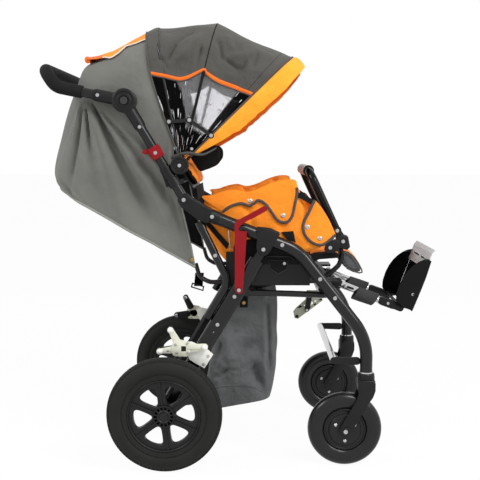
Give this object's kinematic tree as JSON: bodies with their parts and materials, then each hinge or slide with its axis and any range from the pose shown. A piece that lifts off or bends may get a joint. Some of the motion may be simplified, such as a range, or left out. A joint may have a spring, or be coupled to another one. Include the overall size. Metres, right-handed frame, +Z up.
{
  "type": "special needs buggy",
  "caption": "Folding special needs buggy with padded tilting seat, hood with side windows and back drape, push handle, leg rest with footplate, brakes and swivel castors.",
  "frame": {"origin": "on the floor, below the middle of the overall box", "axes": "+X forward, +Y the child's left, +Z up"},
  "size_m": [1.0827, 0.6106, 1.2147],
  "materials": {
    "black_tube": "gloss black powder coat",
    "black_plastic": "satin black moulding",
    "steel": "bright bolts and tubes",
    "tyre": "dark rubber",
    "red": "dark red lever paint",
    "cream": "cream levers",
    "white": "off-white brake plate",
    "grey_cloth": "grey hood cloth",
    "drape_cloth": "lighter grey drape cloth",
    "orange_cloth": "orange padded liner",
    "black_cloth": "black padding",
    "window": "clear window film",
    "alloy": "bare light plate",
    "foam": "black foam grip",
    "dark_sleeve": "dark grey sleeves"
  },
  "bodies": {
    "chassis": {"front_legs": "black_tube", "leg_brackets": "black_tube", "back_hinges": "black_plastic", "lower_bars": "black_tube", "cross_tubes": "black_tube", "step_bar": "black_tube", "tilt_bracket": "cream", "frame_bolts": "steel", "basket": "grey_cloth"},
    "rear_frame": {"rear_legs": "black_tube", "struts": "black_tube", "rear_axle": "steel", "brake_plates": "white", "leg_bolts": "steel"},
    "rear_wheel_R": {"rear_tyre_R": "tyre", "rear_rim_R": "black_plastic"},
    "rear_wheel_L": {"rear_tyre_L": "tyre", "rear_rim_L": "black_plastic"},
    "castor_R": {"castor_fork_R": "black_plastic"},
    "castor_L": {"castor_fork_L": "black_plastic"},
    "castor_wheel_R": {"castor_tyre_R": "tyre", "castor_rim_R": "black_plastic"},
    "castor_wheel_L": {"castor_tyre_L": "tyre", "castor_rim_L": "black_plastic"},
    "lock_lever_R": {"lock_lever_R": "red"},
    "lock_lever_L": {"lock_lever_L": "red"},
    "brake_lever_R": {"brake_lever_R": "cream"},
    "brake_lever_L": {"brake_lever_L": "cream"},
    "back": {"back_tubes": "black_tube", "back_cross": "black_tube", "back_board": "black_plastic", "back_cushion": "orange_cloth", "head_pads": "black_cloth", "hood_brackets": "black_plastic", "fold_catches": "red", "rear_bow": "black_tube", "drape": "drape_cloth"},
    "handle": {"handle_tube": "black_tube", "handle_grip": "foam"},
    "button_R": {"button_R": "black_plastic"},
    "button_L": {"button_L": "black_plastic"},
    "canopy_mid": {"middle_bow": "black_tube", "hood_rear": "grey_cloth", "rear_windows": "window"},
    "canopy_front": {"front_bow": "black_tube", "hood_front": "grey_cloth", "front_windows": "window"},
    "stay_rear": {"rear_stays": "black_plastic"},
    "stay_front": {"front_stays": "black_plastic"},
    "seat": {"seat_floor": "black_tube", "seat_cushion": "orange_cloth", "wings": "orange_cloth", "seat_apron": "grey_cloth", "bumper_brackets": "black_plastic"},
    "bumper": {"bumper_bar": "black_tube"},
    "leg_rest": {"leg_rest": "dark_sleeve"},
    "leg_extension": {"leg_extension": "steel"},
    "foot": {"footplate": "alloy", "foot_guards": "black_plastic"}
  },
  "joints": [
    {"name": "leg_fold", "type": "hinge", "parent": "chassis", "child": "rear_frame", "pos_m": [0.0575, 0, 0.59899], "axis": [0, -1, 0], "range_deg": [0, 35]},
    {"name": "back_fold", "type": "hinge", "parent": "chassis", "child": "back", "pos_m": [-0.15452, 0, 0.73097], "axis": [0, 1, 0], "range_deg": [0, 35]},
    {"name": "seat_tilt", "type": "hinge", "parent": "chassis", "child": "seat", "pos_m": [0.04748, 0, 0.47399], "axis": [0, -1, 0], "range_deg": [0, 8]},
    {"name": "handle_tilt", "type": "hinge", "parent": "back", "child": "handle", "pos_m": [-0.3105, 0, 0.992], "axis": [0, 1, 0], "range_deg": [-35, 45]},
    {"name": "canopy_fold", "type": "hinge", "parent": "back", "child": "canopy_mid", "pos_m": [-0.16516, 0, 0.82189], "axis": [0, -1, 0], "range_deg": [0, 20], "deforming": ["hood_rear", "rear_windows"]},
    {"name": "canopy_front_fold", "type": "hinge", "parent": "canopy_mid", "child": "canopy_front", "pos_m": [-0.16516, 0, 0.82189], "axis": [0, -1, 0], "range_deg": [0, 20], "deforming": ["hood_front", "front_windows"]},
    {"name": "stay_rear_turn", "type": "hinge", "parent": "back", "child": "stay_rear", "pos_m": [-0.18857, 0, 0.94264], "axis": [0, -1, 0], "range_deg": [0, 107.14]},
    {"name": "stay_front_turn", "type": "hinge", "parent": "stay_rear", "child": "stay_front", "pos_m": [-0.1405, 0, 0.944], "axis": [0, -1, 0], "range_deg": [-116.58, 0]},
    {"name": "bumper_swing", "type": "hinge", "parent": "seat", "child": "bumper", "pos_m": [0.2585, 0, 0.645], "axis": [0, 1, 0], "range_deg": [0, 60]},
    {"name": "leg_rest_lift", "type": "hinge", "parent": "seat", "child": "leg_rest", "pos_m": [0.2665, 0, 0.487], "axis": [0, 1, 0], "range_deg": [-15, 35]},
    {"name": "leg_rest_slide", "type": "slide", "parent": "leg_rest", "child": "leg_extension", "axis": [0.9397, 0, -0.342], "range_m": [0, 0.06]},
    {"name": "footplate_tilt", "type": "hinge", "parent": "leg_extension", "child": "foot", "pos_m": [0.45068, 0, 0.41996], "axis": [0, 1, 0], "range_deg": [-8, 8]},
    {"name": "rear_wheel_spin_R", "type": "hinge", "parent": "rear_frame", "child": "rear_wheel_R", "pos_m": [-0.2075, 0, 0.156], "axis": [0, 1, 0], "continuous": true},
    {"name": "castor_swivel_R", "type": "hinge", "parent": "chassis", "child": "castor_R", "pos_m": [0.3395, -0.224, 0], "axis": [0, 0, 1], "continuous": true},
    {"name": "castor_spin_R", "type": "hinge", "parent": "castor_R", "child": "castor_wheel_R", "pos_m": [0.2825, -0.224, 0.1015], "axis": [0, 1, 0], "continuous": true},
    {"name": "lock_lever_swing_R", "type": "hinge", "parent": "rear_frame", "child": "lock_lever_R", "pos_m": [-0.00744, 0, 0.49043], "axis": [0, -1, 0], "range_deg": [0, 15]},
    {"name": "brake_press_R", "type": "hinge", "parent": "rear_frame", "child": "brake_lever_R", "pos_m": [-0.16531, 0, 0.327], "axis": [0, 1, 0], "range_deg": [0, 14]},
    {"name": "button_press_R", "type": "slide", "parent": "handle", "child": "button_R", "axis": [0, 1, 0], "range_m": [0, 0.004], "stiffness_N_per_m": 400},
    {"name": "rear_wheel_spin_L", "type": "hinge", "parent": "rear_frame", "child": "rear_wheel_L", "pos_m": [-0.2075, 0, 0.156], "axis": [0, 1, 0], "continuous": true},
    {"name": "castor_swivel_L", "type": "hinge", "parent": "chassis", "child": "castor_L", "pos_m": [0.3395, 0.224, 0], "axis": [0, 0, 1], "continuous": true},
    {"name": "castor_spin_L", "type": "hinge", "parent": "castor_L", "child": "castor_wheel_L", "pos_m": [0.2825, 0.224, 0.1015], "axis": [0, 1, 0], "continuous": true},
    {"name": "lock_lever_swing_L", "type": "hinge", "parent": "rear_frame", "child": "lock_lever_L", "pos_m": [-0.00744, 0, 0.49043], "axis": [0, -1, 0], "range_deg": [0, 15]},
    {"name": "brake_press_L", "type": "hinge", "parent": "rear_frame", "child": "brake_lever_L", "pos_m": [-0.16531, 0, 0.327], "axis": [0, 1, 0], "range_deg": [0, 14]},
    {"name": "button_press_L", "type": "slide", "parent": "handle", "child": "button_L", "axis": [0, -1, 0], "range_m": [0, 0.004], "stiffness_N_per_m": 400}
  ],
  "couplings": [
    {"joint": "canopy_front_fold", "follows": "canopy_fold", "ratio": 1},
    {"joint": "stay_rear_turn", "follows": "canopy_fold", "ratio": 5.3569},
    {"joint": "stay_front_turn", "follows": "canopy_fold", "ratio": -5.8288}
  ]
}
